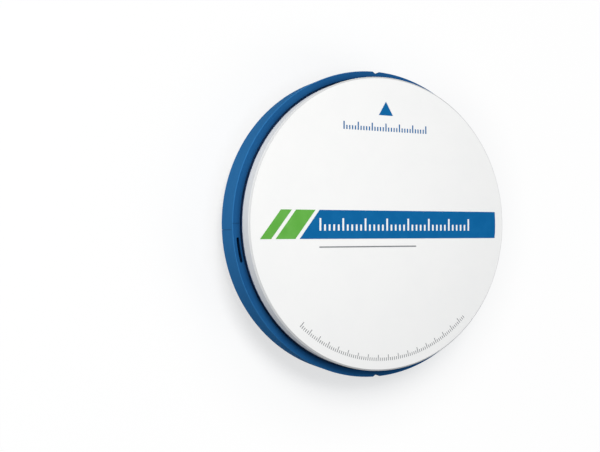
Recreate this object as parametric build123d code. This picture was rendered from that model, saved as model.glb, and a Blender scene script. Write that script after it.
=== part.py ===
from build123d import *
import os
from math import degrees, radians, sqrt, tan

# Dental milling disc: a pre-sintered zirconia blank bonded into a slim plastic holder ring.
# Millimetres. The disc lies on its back at z = 0 with the printed face up; the origin is the
# centre of the back face, +Y points to the 12 o'clock notch and +X to the right of the print.

# Holder ring: the shoulder that a disc holder grips
ring_diameter = 98.5
ring_height = 10.0
ring_wall = 2.35
ring_edge_chamfer = 0.25
ring_bore_chamfer = 0.15

# Bond line between the ring's bore and the blank's wall
bond_gap = 0.5
bond_recess = 1.2

# Zirconia blank; its diameter is what the ring's wall and the bond line leave
blank_thickness = 22.0
blank_chamfer = 0.5

# Stepped lap joint between the two half rings, at 9 and 3 o'clock
lap_length = 1.95
lip_thickness = 1.1
seam_gap = 0.1

# Slot in each half ring's front face, beside the joint
slot_rim_distance = 1.45
slot_width = 0.85
slot_length = 7.7
slot_depth = 3.5
slot_seam_distance = 4.2

# Index notch in the middle of each half ring
notch_width = 2.4
notch_depth = 0.8
notch_root_round = 0.3
notch_mouth_round = 0.3

# Print on the front face: a long band with two slanted bars to its left
ink_thickness = 0.05
band_height = 8.82
band_drop = 0.3
band_right_margin = 2.97
bar_left_margin = 3.0
narrow_bar_width = 3.55
wide_bar_width = 6.45
bar_gap = 1.4
slant_angle = 37.2

# Places worked out from the sizes
ring_radius = ring_diameter / 2
bore_radius = ring_radius - ring_wall
blank_radius = bore_radius - bond_gap
face_radius = blank_radius - blank_chamfer
ring_bottom = (blank_thickness - ring_height) / 2
ring_top = ring_bottom + ring_height
step_height = ring_top - lip_thickness
beyond = ring_diameter


def box_between(low, high):
    """Box with two opposite corners given."""
    size = [b - a for a, b in zip(low, high)]
    centre = [(a + b) / 2 for a, b in zip(low, high)]
    return Pos(*centre) * Box(*size)


def blank():
    """Plain round puck with a chamfer on both edges."""
    puck = Cylinder(blank_radius, blank_thickness, align=(Align.CENTER, Align.CENTER, Align.MIN))
    return chamfer(puck.edges().filter_by(GeomType.CIRCLE), blank_chamfer)


def notch_outline():
    """Plan of the index notch: a V on the rim at 12 o'clock, a little longer than it needs."""
    half = notch_width / 2
    root = ring_radius - notch_depth
    slope = half / (sqrt(ring_radius ** 2 - half ** 2) - root)
    rise = notch_depth + notch_width
    left = (-slope * rise, root + rise)
    right = (slope * rise, root + rise)
    return make_face(Polyline(left, (0, root), right, close=True))


def ring_body():
    """Holder ring before it is split, with the notch of its upper half. The plan is rounded at
    the notch first, so that the rim's chamfer runs through the notch."""
    plan = Circle(ring_radius) - Circle(bore_radius) - notch_outline()
    corners = plan.vertices().filter_by_position(Axis.Y, bore_radius, ring_radius).sort_by(Axis.Y)
    plan = fillet(corners[:1], notch_root_round)
    corners = plan.vertices().filter_by_position(Axis.Y, ring_radius - notch_depth / 3, ring_radius)
    plan = fillet(corners, notch_mouth_round)
    body = Pos(0, 0, ring_bottom) * extrude(plan, ring_height)
    ends = body.faces().filter_by(Axis.Z)
    body = chamfer([e for face in ends for e in face.outer_wire().edges()], ring_edge_chamfer)
    ends = body.faces().filter_by(Axis.Z)
    return chamfer([e for face in ends for e in face.inner_wires().edges()], ring_bore_chamfer)


def upper_half_space():
    """Space of the upper half ring: above the seam, with a tongue at 9 o'clock that runs behind
    the other half's lip, and a rebate at 3 o'clock that leaves this half a lip of its own."""
    clear = seam_gap / 2
    space = box_between((-beyond, clear, ring_bottom - beyond), (beyond, beyond, ring_top + beyond))
    tongue = box_between(
        (-beyond, clear - lap_length, ring_bottom - beyond),
        (0, clear, step_height - clear),
    )
    rebate = box_between(
        (0, clear, ring_bottom - beyond),
        (beyond, clear + lap_length, step_height + clear),
    )
    return space + tongue - rebate


def front_slot():
    """Curved blind slot with round ends, sunk into the ring's front face past the 3 o'clock lip."""
    path_radius = ring_radius - slot_rim_distance
    start = degrees(slot_seam_distance / path_radius)
    sweep_angle = degrees((slot_length - slot_width) / path_radius)
    start += degrees(slot_width / 2 / path_radius)
    path = CenterArc((0, 0), path_radius, start, sweep_angle)
    outline = SlotArc(path, slot_width)
    return Pos(0, 0, ring_top - slot_depth) * extrude(outline, slot_depth * 2)


def half_ring():
    """Upper half ring; the lower one is the same moulding turned half a turn."""
    return (ring_body() & upper_half_space()) - front_slot()


def bond_ring():
    """Adhesive that fills the gap between blank and ring, set back from both ring faces."""
    outline = Circle(bore_radius) - Circle(blank_radius)
    return Pos(0, 0, ring_bottom + bond_recess) * extrude(outline, ring_height - 2 * bond_recess)


def slanted_field(left, right):
    """Outline of an ink field between the band's two long edges, with both ends leaning."""
    low = -band_height / 2 - band_drop
    high = band_height / 2 - band_drop
    lean = band_height * tan(radians(slant_angle))
    outline = Polyline((left, low), (right, low), (right + lean, high), (left + lean, high), close=True)
    return make_face(outline)


def ink(outline):
    """Layer of ink on the blank's front face."""
    return Pos(0, 0, blank_thickness) * extrude(outline, ink_thickness)


def print_fields():
    """The two bars and the band, laid out from the left edge of the flat face. The band's right
    end is an arc that keeps its distance from the rim."""
    narrow_left = bar_left_margin - face_radius
    wide_left = narrow_left + narrow_bar_width + bar_gap
    band_left = wide_left + wide_bar_width + bar_gap
    reach = Circle(face_radius - band_right_margin)
    return {
        "print_bar_narrow": ink(slanted_field(narrow_left, narrow_left + narrow_bar_width)),
        "print_bar_wide": ink(slanted_field(wide_left, wide_left + wide_bar_width)),
        "print_band": ink(slanted_field(band_left, face_radius) & reach),
    }


upper = half_ring()
nodes = {
    "zirconia_blank": blank(),
    "ring_half_upper": upper,
    "ring_half_lower": Rot(0, 0, 180) * upper,
    "bond_ring": bond_ring(),
}
nodes.update(print_fields())

os.makedirs("parts", exist_ok=True)
for name, piece in nodes.items():
    piece.label = name
    export_step(piece, f"parts/{name}.step")
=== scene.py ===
from math import cos, pi, radians, sin

import bpy
import numpy as np
from mathutils import Matrix, Vector


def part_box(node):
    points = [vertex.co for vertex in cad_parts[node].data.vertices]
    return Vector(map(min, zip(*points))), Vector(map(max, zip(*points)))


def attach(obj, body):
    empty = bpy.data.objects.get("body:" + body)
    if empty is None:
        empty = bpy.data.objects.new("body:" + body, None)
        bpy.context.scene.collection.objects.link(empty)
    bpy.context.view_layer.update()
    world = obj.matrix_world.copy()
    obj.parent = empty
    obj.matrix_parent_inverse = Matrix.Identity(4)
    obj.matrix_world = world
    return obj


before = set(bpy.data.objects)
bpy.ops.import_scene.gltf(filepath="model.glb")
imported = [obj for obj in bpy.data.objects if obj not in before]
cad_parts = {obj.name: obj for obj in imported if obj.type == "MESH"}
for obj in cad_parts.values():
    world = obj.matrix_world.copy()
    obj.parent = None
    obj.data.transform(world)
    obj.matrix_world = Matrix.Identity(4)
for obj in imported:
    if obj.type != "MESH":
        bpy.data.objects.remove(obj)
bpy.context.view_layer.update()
mm = 0.001  # the scene is in metres, sizes below are in millimetres unless a note says so
print("frame loaded:", sorted(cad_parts))


# places read from the frame
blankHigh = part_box("zirconia_blank")[1]
ringLow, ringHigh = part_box("ring_half_upper")
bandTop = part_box("print_band")[1].z
faceHeight = blankHigh.z  # the printed face
middleHeight = faceHeight / 2  # of the blank, and of the ring around its middle
ringHalfHeight = (ringHigh.z - ringLow.z) / 2
blankRadius = blankHigh.x
ringRadius = ringHigh.x


# camera, turned about the disc's upright axis as the photo's disc is turned away from the lens
cameraView = {
    "lens": 46.50,
    "sensor": 36,
    "yaw": 24.82,  # degrees the face turns away, to the right
    "pitch": -0.46,
    "roll": 0.04,
    "aside": 27.21,  # where the face centre lies from the lens axis
    "above": 0.74,
    "away": 244.88,
    "clipNear": 10,
    "clipFar": 100000,
}


def makeCamera(view):
    data = bpy.data.cameras.new("camera")
    data.lens = view["lens"]
    data.sensor_width = view["sensor"]
    data.clip_start = view["clipNear"] * mm
    data.clip_end = view["clipFar"] * mm
    turn = Matrix.Rotation(radians(view["roll"]), 3, "Z")
    turn = turn @ Matrix.Rotation(radians(view["pitch"]), 3, "X")
    turn = turn @ Matrix.Rotation(radians(view["yaw"]), 3, "Y")
    offset = Vector((view["aside"], view["above"], -view["away"])) * mm
    camera = bpy.data.objects.new("camera", data)
    camera.matrix_world = Matrix.LocRotScale(
        Vector((0, 0, faceHeight)) - turn.transposed() @ offset, turn.transposed(), None)
    bpy.context.scene.collection.objects.link(camera)
    bpy.context.scene.camera = camera


# lamps: where each softbox hangs, seen from the disc, and the light level it gives there,
# which is 1 where a white surface that faces it renders white
warmLight = (1.0, 0.988, 0.965)
whiteLight = (1.0, 1.0, 1.0)
softboxes = {
    "key": {
        "azimuth": 115, "elevation": 60, "distance": 700, "size": 300,
        "level": 0.58, "tint": warmLight},
    "glow": {
        "azimuth": 148, "elevation": 80, "distance": 175, "size": 60,
        "level": 0.18, "tint": warmLight},
    "side": {
        "azimuth": 172, "elevation": 12, "distance": 300, "size": 110,
        "level": 0.35, "tint": whiteLight},
    "front": {
        "azimuth": 330, "elevation": 25, "distance": 900, "size": 500,
        "level": 0.27, "tint": whiteLight},
}


# a lamp's power is its level times pi squared times its distance squared
def makeLamps(boxes):
    target = Vector((0, 0, middleHeight))
    for name, box in boxes.items():
        turn, lift = radians(box["azimuth"]), radians(box["elevation"])
        towards = Vector((cos(turn) * cos(lift), sin(turn) * cos(lift), sin(lift)))
        data = bpy.data.lights.new(name, "AREA")
        data.shape = "DISK"
        data.size = box["size"] * mm
        data.energy = box["level"] * (pi * box["distance"] * mm) ** 2
        data.color = box["tint"]
        lamp = bpy.data.objects.new(name, data)
        lamp.location = target + towards * box["distance"] * mm
        lamp.rotation_mode = "QUATERNION"
        lamp.rotation_quaternion = towards.to_track_quat("Z", "Y")
        lamp.visible_camera = False
        bpy.context.scene.collection.objects.link(lamp)


# one shader socket; sums, differences and products of wires and numbers add Math nodes
class Wire:
    def __init__(self, owner, socket):
        self.owner = owner
        self.socket = socket

    def maths(self, operation, *values):
        return self.owner.node("Math", {"operation": operation}, values)

    def __add__(self, other):
        return self.maths("ADD", self, other)

    def __radd__(self, other):
        return self.maths("ADD", other, self)

    def __sub__(self, other):
        return self.maths("SUBTRACT", self, other)

    def __rsub__(self, other):
        return self.maths("SUBTRACT", other, self)

    def __mul__(self, other):
        return self.maths("MULTIPLY", self, other)

    def __rmul__(self, other):
        return self.maths("MULTIPLY", other, self)

    def __abs__(self):
        return self.maths("ABSOLUTE", self)

    def sine(self):
        return self.maths("SINE", self)

    def root(self):
        return self.maths("SQRT", self)

    def larger(self, other):
        return self.maths("MAXIMUM", self, other)

    # 0 below low, 1 above high, with a smooth rise between them
    def rise(self, low, high):
        settings = {"interpolation_type": "SMOOTHSTEP"}
        return self.owner.node("MapRange", settings, {"Value": self, "From Min": low, "From Max": high})


# a node tree; node() adds any node, sets its settings first and then its sockets
class Tree:
    def __init__(self, tree):
        self.tree = tree

    def node(self, kind, settings=None, values=None, out=0):
        made = self.tree.nodes.new("ShaderNode" + kind)
        for key, value in (settings or {}).items():
            setattr(made, key, value)
        pairs = values.items() if isinstance(values, dict) else enumerate(values or [])
        for key, value in pairs:
            if isinstance(value, Wire):
                self.tree.links.new(value.socket, made.inputs[key])
            else:
                made.inputs[key].default_value = value
        return Wire(self, made.outputs[out])

    # lead a shader to the Surface socket of the output node of that name
    def lead(self, shader, output):
        self.tree.links.new(shader.socket, self.tree.nodes[output].inputs["Surface"])


# a material with one Principled shader, whose constants are set and whose varying sockets are fed
class Finish(Tree):
    # places of the Mix node's sockets when it mixes colours
    mixShare, mixBelow, mixAbove, mixResult = 0, 6, 7, 2

    def __init__(self, name, constants):
        self.material = bpy.data.materials.new(name)
        self.material.use_nodes = True
        super().__init__(self.material.node_tree)
        self.shader = self.tree.nodes["Principled BSDF"]
        for socket, value in constants.items():
            self.shader.inputs[socket].default_value = value
        self.place = self.node("TexCoord", out="Object")
        x, y, self.z = (self.node("SeparateXYZ", None, [self.place], axis) for axis in "XYZ")
        self.radius = (x * x + y * y).root()

    # noise whose lumps are about size millimetres across, from 0 to 1
    def grain(self, size, detail=2.0, stretch=None, roughness=0.55):
        place = self.place
        if stretch:
            place = self.node("Mapping", None, {"Vector": place, "Scale": stretch})
        values = {"Vector": place, "Scale": 1 / (size * mm), "Detail": detail, "Roughness": roughness}
        return self.node("TexNoise", None, values, "Fac")

    # a share of one colour laid over another; each is a wire or a plain colour
    def over(self, share, below, above):
        values = {self.mixShare: share}
        for place, colour in ((self.mixBelow, below), (self.mixAbove, above)):
            values[place] = colour if isinstance(colour, Wire) else (*colour, 1)
        return self.node("Mix", {"data_type": "RGBA"}, values, self.mixResult)

    def bump(self, height, look):
        values = {"Height": height, "Distance": look["bumpDepth"] * mm, "Strength": look["bumpStrength"]}
        return self.node("Bump", None, values)

    def feed(self, **wires):
        for key, wire in wires.items():
            self.tree.links.new(wire.socket, self.shader.inputs[key.replace("_", " ")])
        return self.material


# limits of a mask that rises towards an edge, from how far inside the edge it starts and ends
def inside(edge, insets):
    return [edge - inset * mm for inset in insets]


# zirconia; colours are linear light, and the name of a colour's place stands beside it
zirconia = {
    "pale": (0.905, 0.900, 0.890),
    "dull": (0.888, 0.885, 0.878),
    "edge": (0.662, 0.667, 0.667),  # the chamfers, darker than the face: painted shade
    "side": (0.860, 0.868, 0.880),  # the wall, bluer and a little darker than the face: painted shade and painted blue bounce from the ring
    "footStainAndShade": (0.012, 0.042, 0.120),  # the foot of the wall: glue stain and painted shade of the crease beside the ring
    "specular": 0.20,
    "roughness": 0.62,
    "cloudRoughness": 0.08,
    "detail": 3.0,
    "cloud": 9.0,
    "cloudRise": (0.35, 0.70),
    "cloudShare": 0.6,  # of the mottling, the rest is powder
    "powder": 0.22,
    "fine": 0.07,
    "fineHeight": 0.5,
    "turning": 0.35,  # from one turning line on the wall to the next
    "turningHeight": 0.25,
    "bumpDepth": 0.012,
    "bumpStrength": 0.8,
    "chamferInset": (0.56, 0.46),  # inside the wall
    "chamferDrop": (0.54, 0.42),  # inside the flat faces
    "wallInset": (0.10, 0.02),
    "stainAndShadeReach": (0.62, 1.02),  # up the wall from the ring's faces
    "stainAndShadeLump": 1.1,
    "stainAndShadeRagged": 0.30,
}


# 1 on the blank's two chamfers, where their painted shade goes: off the middle of the flat faces and off
# the upright wall
def chamferShadeShare(finish, look):
    outside = finish.radius.rise(*inside(blankRadius, look["chamferInset"]))
    return outside * abs(finish.z - middleHeight).rise(*inside(middleHeight, look["chamferDrop"]))


# 1 on the foot of the wall, where glue from the ring's gap has wetted it and where the crease beside the
# ring is painted in shade
def footStainAndShadeShare(finish, look, wall):
    above = abs(finish.z - middleHeight) - ringHalfHeight
    ragged = finish.grain(look["stainAndShadeLump"], look["detail"]) * (look["stainAndShadeRagged"] * mm)
    full, clean = look["stainAndShadeReach"]
    return wall * (1 - (above + ragged).rise(full * mm, clean * mm))


def zirconiaFinish(look):
    finish = Finish("zirconia", {"Specular IOR Level": look["specular"]})
    cloud = finish.grain(look["cloud"], look["detail"])
    powder = finish.grain(look["powder"], look["detail"])
    mottle = cloud.rise(*look["cloudRise"]) * look["cloudShare"] + powder * (1 - look["cloudShare"])
    wall = finish.radius.rise(*inside(blankRadius, look["wallInset"]))
    colour = finish.over(mottle, look["pale"], look["dull"])
    colour = finish.over(chamferShadeShare(finish, look), colour, look["edge"])
    colour = finish.over(wall, colour, look["side"])
    colour = finish.over(footStainAndShadeShare(finish, look, wall), colour, look["footStainAndShade"])
    lines = (finish.z * (2 * pi / (look["turning"] * mm))).sine() * wall * look["turningHeight"]
    height = powder + finish.grain(look["fine"]) * look["fineHeight"] + lines
    return finish.feed(
        Base_Color=colour,
        Roughness=look["roughness"] + cloud * look["cloudRoughness"],
        Normal=finish.bump(height, look))


# ring: the rim is coloured as the blue plastic lit, and the flat faces as the same plastic in
# painted shade, painted darker still towards the bore, where the blank's wall shades them
ringPlastic = {
    # the rim: the plastic as lit, lighter than the flat faces' painted shade
    "rim": (0.0290, 0.167, 0.415),
    "flat": (0.0108, 0.0790, 0.225),
    "boreShade": (0.0060, 0.044, 0.135),
    # a lighter blue for the mould's flow streaks and for the painted highlight on the rim's edges
    "paleStreakAndGlint": (0.040, 0.225, 0.480),
    "specular": 0.0005,
    "roughness": 0.42,
    "textureRoughness": 0.10,
    "wearAndGlintRoughness": 0.12,
    "wall": 2.35,  # thickness of the ring
    "boreShadeReach": 1.6,
    "boreShadeShare": 0.8,
    "rimInset": (0.30, 0.05),
    "endInset": (0.28, 0.08),
    "flow": 14.0,
    "flowStretch": (1.0, 1.0, 3.0),
    "flowRise": (0.30, 0.72),
    "flowShare": 0.12,
    "flowHeight": 0.6,
    "texture": 0.30,
    "wearAndGlint": 1.6,
    "wearAndGlintDetail": 4.0,
    "wearAndGlintRise": (0.38, 0.72),
    "wearAndGlintShare": 0.20,
    "bumpDepth": 0.010,
    "bumpStrength": 0.6,
}


def plasticFinish(look):
    finish = Finish("ringPlastic", {"Specular IOR Level": look["specular"]})
    flow = finish.grain(look["flow"], stretch=look["flowStretch"])
    texture = finish.grain(look["texture"])
    outside = finish.radius.rise(*inside(ringRadius, look["rimInset"]))
    end = abs(finish.z - middleHeight).rise(*inside(ringHalfHeight, look["endInset"]))
    bore = ringRadius - look["wall"] * mm
    boreShadeMask = 1 - finish.radius.rise(bore, bore + look["boreShadeReach"] * mm)
    # the rim's edges: rougher from wear, and lighter with a painted highlight
    wearAndGlint = outside * end * finish.grain(look["wearAndGlint"], look["wearAndGlintDetail"]).rise(*look["wearAndGlintRise"])
    # painted shade: the flat faces darker than the rim, and darkest towards the bore
    colour = finish.over(boreShadeMask * look["boreShadeShare"], look["flat"], look["boreShade"])
    colour = finish.over(outside, colour, look["rim"])
    colour = finish.over(flow.rise(*look["flowRise"]) * look["flowShare"], colour, look["paleStreakAndGlint"])
    colour = finish.over(wearAndGlint * look["wearAndGlintShare"], colour, look["paleStreakAndGlint"])
    return finish.feed(
        Base_Color=colour,
        Roughness=look["roughness"] + texture * look["textureRoughness"] + wearAndGlint * look["wearAndGlintRoughness"],
        Normal=finish.bump(texture + flow * look["flowHeight"], look))


# glue: a blue-tinted line between blank and ring, and in the ring's seams the same glue painted darker
# with shade
bondGlue = {
    "colour": (0.015, 0.064, 0.190),
    "bloom": (0.026, 0.098, 0.255),
    "specular": 0.10,
    "roughness": 0.5,
    "lumpRoughness": 0.15,
    "lump": 1.2,
    "detail": 3.0,
    "bumpDepth": 0.08,
    "bumpStrength": 0.7,
}
seamGlueShaded = {**bondGlue, "colour": (0.003, 0.014, 0.048), "bloom": (0.006, 0.024, 0.075)}


def glueFinish(name, look):
    finish = Finish(name, {"Specular IOR Level": look["specular"]})
    lump = finish.grain(look["lump"], look["detail"])
    return finish.feed(
        Base_Color=finish.over(lump, look["colour"], look["bloom"]),
        Roughness=look["roughness"] + lump * look["lumpRoughness"],
        Normal=finish.bump(lump, look))


# inks: each has its colour where the layer is thick and where it is thin, and all share one grain
inks = {
    "blue": {"thick": (0.0040, 0.118, 0.325), "thin": (0.0070, 0.138, 0.360), "roughness": 0.46},
    "green": {"thick": (0.112, 0.395, 0.055), "thin": (0.145, 0.445, 0.080), "roughness": 0.46},
    "grey": {"thick": (0.190, 0.200, 0.210), "thin": (0.270, 0.280, 0.290), "roughness": 0.5},
    "white": {"thick": (0.930, 0.935, 0.935), "thin": (0.870, 0.880, 0.885), "roughness": 0.5},
}
inkGrain = {
    "specular": 0.02,
    "blot": 3.5,
    "blotDetail": 4.0,
    "blotRise": (0.32, 0.74),
    "blotShare": 0.7,  # of the uneven colour, the rest is specks
    "speck": 0.16,
    "speckRoughness": 0.12,
    "bumpDepth": 0.006,
    "bumpStrength": 0.7,
}


def inkFinish(name, look, grain):
    finish = Finish("ink" + name.capitalize(), {"Specular IOR Level": grain["specular"]})
    blot = finish.grain(grain["blot"], grain["blotDetail"])
    speck = finish.grain(grain["speck"])
    uneven = blot.rise(*grain["blotRise"]) * grain["blotShare"] + speck * (1 - grain["blotShare"])
    return finish.feed(
        Base_Color=finish.over(uneven, look["thick"], look["thin"]),
        Roughness=look["roughness"] + speck * grain["speckRoughness"],
        Normal=finish.bump(speck, grain))


def dress(node, material):
    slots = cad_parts[node].data.materials
    slots.clear()
    slots.append(material)


# upright prisms: each outline, counterclockwise, is taken once at the low and once at the high
# level, and a wall joins the two; outlines is an array (prism, corner, xy)
def prismMesh(name, outlines, low, high, material, slotName=None):
    count, corners = outlines.shape[:2]
    levels = np.stack([np.full((count, corners), low), np.full((count, corners), high)], 1)
    points = np.concatenate([np.repeat(outlines[:, None], 2, 1), levels[..., None]], 3).reshape(-1, 3)
    ring = np.arange(corners)
    after = (ring + 1) % corners
    sides = np.stack([ring, after, after + corners, ring + corners], 1)
    starts = np.arange(count)[:, None, None] * 2 * corners
    walls = (sides[None] + starts).reshape(-1, 4)
    tops = (ring[None] + corners + starts[:, 0]).reshape(count, corners)
    feet = (ring[::-1][None] + starts[:, 0]).reshape(count, corners)
    mesh = bpy.data.meshes.new(name)
    mesh.from_pydata(points.tolist(), [], walls.tolist() + tops.tolist() + feet.tolist())
    mesh.materials.append(material)
    piece = bpy.data.objects.new(name, mesh)
    bpy.context.scene.collection.objects.link(piece)
    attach(piece, "root")


# bars of ink from rows (x, y, angle, length, width): the corners of a bar's outline are its centre
# plus or minus half its length along the angle, and plus or minus half its width across it
def strokeMesh(name, strokes, low, high, material, slotName=None):
    strokes = np.asarray(strokes, float) * [mm, mm, 1, mm, mm]
    along = np.stack([np.cos(strokes[:, 2]), np.sin(strokes[:, 2])], 1)
    across = np.stack([-along[:, 1], along[:, 0]], 1)
    signs = np.array([(-1, -1), (1, -1), (1, 1), (-1, 1)])
    half = strokes[:, 3:5] / 2
    outlines = (strokes[:, None, :2]
                + signs[None, :, 0:1] * half[:, None, 0:1] * along[:, None]
                + signs[None, :, 1:2] * half[:, None, 1:2] * across[:, None])
    prismMesh(name, outlines, low, high, material, slotName)


# glue in the seams between the half rings, kept clear of the ring's faces
seam = {
    "gap": 0.09,
    "lap": 1.95,
    "lip": 1.1,
    "depth": 2.30,  # of the strips' inner ends, from the rim
    "setBack": 0.30,
}


# per side a strip in the front lip's seam and one in the seam below it: an outline from the bore to
# the rim and as wide as the gap, turned half a turn for the right side
def seamStrips(look, material):
    clear, lap, setBack = look["gap"] * mm / 2, look["lap"] * mm, look["setBack"] * mm
    step = ringHigh.z - look["lip"] * mm
    bore, rim = ringRadius - look["depth"] * mm, ringRadius - setBack
    back, front = ringLow.z + setBack, ringHigh.z - setBack
    for side, turn in (("left", 1), ("right", -1)):
        for level, y, low, high in (("front", 0, step, front), ("rear", -lap, back, step)):
            corners = [(-rim, y - clear), (-bore, y - clear), (-bore, y + clear), (-rim, y + clear)]
            outline = np.array([corners]) * turn
            prismMesh(f"seam_glue_{side}_{level}", outline, low, high, material, "bond")


# plain printed marks: scales of strokes, a rule and an arrow to the notch
scaleMarks = {
    "height": 0.03,  # of the ink above what it lies on
    "bandScale": {
        "left": -23.2, "right": 31.8, "middle": -0.3, "step": 1.57,
        "short": 1.9, "long": 3.8, "width": 0.60},
    "topScale": {
        "left": -15.0, "right": 15.0, "middle": 30.4, "step": 1.0,
        "short": 1.3, "long": 2.5, "width": 0.42},
    "underRule": {"left": -23.5, "right": 11.2, "middle": -7.2, "width": 0.40},
    "arcScale": {
        "radius": 43.2, "from": 226.0, "to": 314.0, "step": 1.0,
        "short": 1.0, "long": 1.9, "width": 0.22},
    "arrow": {"tip": 38.6, "foot": 34.2, "width": 5.2},
}
longEvery = 5  # strokes from one long stroke of a scale to the next


# places at equal steps, with the last one kept when rounding puts it just past the end
def evenSteps(start, end, step):
    return np.arange(start, end + step / 2, step)


def strokeLengths(mark, count):
    return np.where(np.arange(count) % longEvery == 0, mark["long"], mark["short"])


# strokes at equal steps that stand on one straight line
def straightScale(mark):
    x = evenSteps(mark["left"], mark["right"], mark["step"])
    length = strokeLengths(mark, len(x))
    y = mark["middle"] - mark["long"] / 2 + length / 2
    return np.stack([x, y, np.full_like(x, pi / 2), length, np.full_like(x, mark["width"])], 1)


# strokes at equal angles that hang inwards from one circle
def arcScale(mark):
    angle = np.radians(evenSteps(mark["from"], mark["to"], mark["step"]))
    length = strokeLengths(mark, len(angle))
    middle = mark["radius"] - length / 2
    width = np.full_like(angle, mark["width"])
    return np.stack([middle * np.cos(angle), middle * np.sin(angle), angle, length, width], 1)


# one level stroke from left to right
def ruleStroke(mark):
    left, right = mark["left"], mark["right"]
    return [((left + right) / 2, mark["middle"], 0, right - left, mark["width"])]


# a triangle with a level foot
def arrowOutline(mark):
    half = mark["width"] / 2
    return np.array([[(-half, mark["foot"]), (half, mark["foot"]), (0, mark["tip"])]]) * mm


def printMarks(marks, ink):
    thickness = marks["height"] * mm
    onFace = (faceHeight, faceHeight + thickness)
    onBand = (bandTop, bandTop + thickness)
    strokeMesh("print_scale_band", straightScale(marks["bandScale"]), *onBand, ink["white"])
    strokeMesh("print_scale_top", straightScale(marks["topScale"]), *onFace, ink["blue"], "ink_blue")
    strokeMesh("print_rule_under", ruleStroke(marks["underRule"]), *onFace, ink["grey"])
    strokeMesh("print_scale_arc", arcScale(marks["arcScale"]), *onFace, ink["grey"])
    prismMesh("print_arrow_top", arrowOutline(marks["arrow"]), *onFace, ink["blue"], "ink_blue")


def grey(tone):
    return (tone, tone, tone, 1)


# 1 for rays that should meet the white studio: from the camera, off gloss or through clear glass
def seenShare(tree):
    rays = ("Is Camera Ray", "Is Glossy Ray", "Is Transmission Ray")
    camera, gloss, glass = (tree.node("LightPath", out=ray) for ray in rays)
    return camera.larger(gloss).larger(glass)


# floor
studioFloor = {
    "size": 12000,
    "tone": 0.17,  # that throws little light back at the disc
    "roughness": 0.9,
    "specular": 0.1,
    "shownTone": 0.98,
    "nearShadow": 0.40,  # share of the disc's shadow that is kept beside it
    "farShadow": 0.04,
    "near": 52,  # floor radii between which the kept share falls
    "far": 80,
}


# a floor that is seen as white with part of the disc's shadow kept
def makeFloor(look):
    half = look["size"] * mm / 2
    mesh = bpy.data.meshes.new("floor")
    corners = [(-half, -half, 0), (half, -half, 0), (half, half, 0), (-half, half, 0)]
    mesh.from_pydata(corners, [], [(0, 1, 2, 3)])
    finish = Finish("floor", {
        "Base Color": grey(look["tone"]),
        "Roughness": look["roughness"],
        "Specular IOR Level": look["specular"]})
    shown = finish.node("BsdfDiffuse", None, {"Color": grey(look["shownTone"])})
    glow = finish.node("Emission", None, {"Color": grey(1), "Strength": 1.0})
    away = finish.radius.rise(look["near"] * mm, look["far"] * mm)
    kept = look["nearShadow"] - away * (look["nearShadow"] - look["farShadow"])
    white = finish.node("MixShader", None, [kept, glow, shown])
    plain = Wire(finish, finish.shader.outputs[0])
    finish.lead(finish.node("MixShader", None, [seenShare(finish), plain, white]), "Material Output")
    mesh.materials.append(finish.material)
    floor = bpy.data.objects.new("floor", mesh)
    bpy.context.scene.collection.objects.link(floor)


# sky: a faint bluish fill for the disc, seen as white
studioSky = {"fill": 0.19, "fillTint": (0.80, 0.89, 1.00)}


def makeWorld(look):
    world = bpy.data.worlds.new("studio")
    world.use_nodes = True
    bpy.context.scene.world = world
    sky = Tree(world.node_tree)
    fill = sky.node("Background", None, {"Color": (*look["fillTint"], 1), "Strength": look["fill"]})
    white = sky.node("Background", None, {"Color": grey(1), "Strength": 1.0})
    sky.lead(sky.node("MixShader", None, [seenShare(sky), fill, white]), "World Output")


makeCamera(cameraView)
makeLamps(softboxes)
makeWorld(studioSky)
makeFloor(studioFloor)
bpy.context.scene.view_settings.view_transform = "Standard"
print("studio ready")

ink = {name: inkFinish(name, look, inkGrain) for name, look in inks.items()}
ringMaterial = plasticFinish(ringPlastic)
dress("zirconia_blank", zirconiaFinish(zirconia))
dress("ring_half_upper", ringMaterial)
dress("ring_half_lower", ringMaterial)
dress("bond_ring", glueFinish("bondGlue", bondGlue))
dress("print_band", ink["blue"])
dress("print_bar_wide", ink["green"])
dress("print_bar_narrow", ink["green"])
print("finishes given")

seamStrips(seam, glueFinish("seamGlueShaded", seamGlueShaded))
printMarks(scaleMarks, ink)
print("seams filled and print marks laid")
